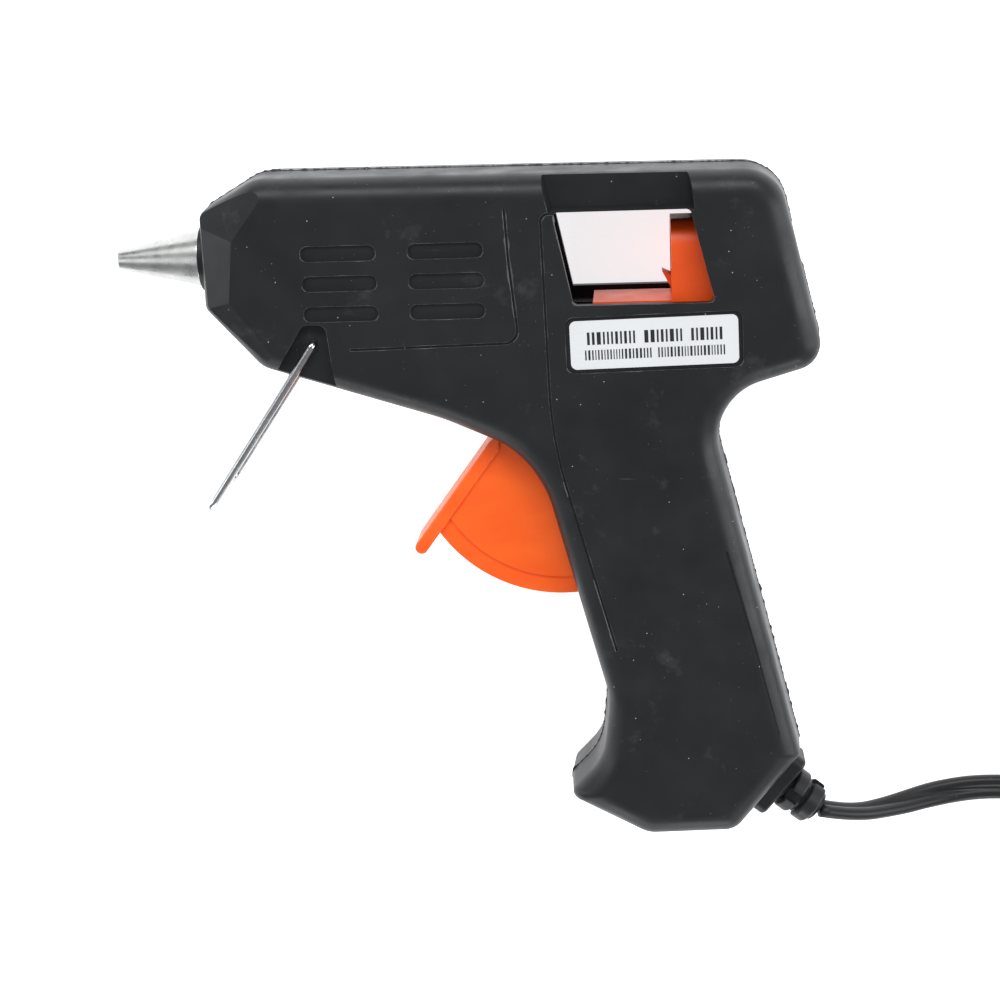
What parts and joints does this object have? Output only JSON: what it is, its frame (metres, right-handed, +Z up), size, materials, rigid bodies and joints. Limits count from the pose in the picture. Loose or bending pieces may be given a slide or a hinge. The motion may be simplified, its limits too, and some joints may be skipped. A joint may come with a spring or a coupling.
{
  "type": "glue gun",
  "caption": "Small trigger-fed hot-melt glue gun with a folding wire stand, a feed carriage in the window, and a coiled lead with a two-pin plug.",
  "frame": {"origin": "centre of the underside of the body, with the cord left out, on the surface it lies on", "axes": "+Z up through the two shells, -X the way the nozzle points, +Y towards the top of the gun"},
  "size_m": [0.2729, 0.1404, 0.026],
  "materials": {
    "shell": "satin moulded, fine dust",
    "trigger_orange": "satin moulded",
    "carriage_orange": "satin moulded",
    "nozzle_metal": "turned",
    "chamber_metal": "die cast",
    "ceramic": "fired ceramic",
    "electrode": "rolled",
    "film": "amber film",
    "spring_steel": "drawn wire",
    "screw_steel": "zinc plated",
    "silicone": "silicone",
    "label": "printed film, blank",
    "soft_black": "soft vinyl",
    "wire_brown": "insulation",
    "wire_blue": "insulation",
    "clamp": "moulded",
    "pin_brass": "nickel plated"
  },
  "bodies": {
    "casing": {"left_shell": "shell", "right_shell": "shell", "shell_screws": "screw_steel", "nozzle": "nozzle_metal", "melt_chamber": "chamber_metal", "ptc_heater": "ceramic", "heater_electrodes": "electrode", "heater_film": "film", "heater_clip": "spring_steel", "wire_crimps": "electrode", "stick_sleeve": "silicone", "sleeve_band": "spring_steel", "trigger_pin": "spring_steel", "return_spring": "spring_steel", "label": "label", "strain_relief": "soft_black", "inner_cord": "soft_black", "live_wire": "wire_brown", "neutral_wire": "wire_blue", "cord_clamp": "clamp", "clamp_screws": "screw_steel", "power_cord": "soft_black", "cord_coil": "soft_black", "cord_tail": "soft_black", "cord_tie": "soft_black", "plug_body": "soft_black", "plug_pins": "pin_brass"},
    "trigger": {"trigger": "trigger_orange", "drive_pin": "spring_steel"},
    "carriage": {"carriage": "carriage_orange", "gripper_pin": "spring_steel"},
    "gripper": {"stick_gripper": "carriage_orange"},
    "stand": {"stand": "spring_steel"}
  },
  "joints": [
    {"name": "trigger_hinge", "type": "hinge", "parent": "casing", "child": "trigger", "pos_m": [0.01731, 0.01195, 0.013], "axis": [0, 0, 1], "range_deg": [0, 25], "stiffness_Nm_per_rad": 0.3, "springref_deg": -8.59, "deforming": ["return_spring"]},
    {"name": "carriage_slide", "type": "slide", "parent": "casing", "child": "carriage", "axis": [-1, 0, 0], "range_m": [0, 0.0114]},
    {"name": "gripper_rock", "type": "hinge", "parent": "carriage", "child": "gripper", "pos_m": [0.04611, 0.04405, 0.013], "axis": [0, 0, -1], "range_deg": [0, 10]},
    {"name": "stand_hinge", "type": "hinge", "parent": "casing", "child": "stand", "pos_m": [-0.02889, 0.03565, 0.013], "axis": [0, 0, 1], "range_deg": [0, 50]}
  ],
  "couplings": [
    {"joint": "carriage_slide", "follows": "trigger_hinge", "m_per_rad": 0.02606},
    {"joint": "gripper_rock", "follows": "trigger_hinge", "ratio": 0.4}
  ]
}
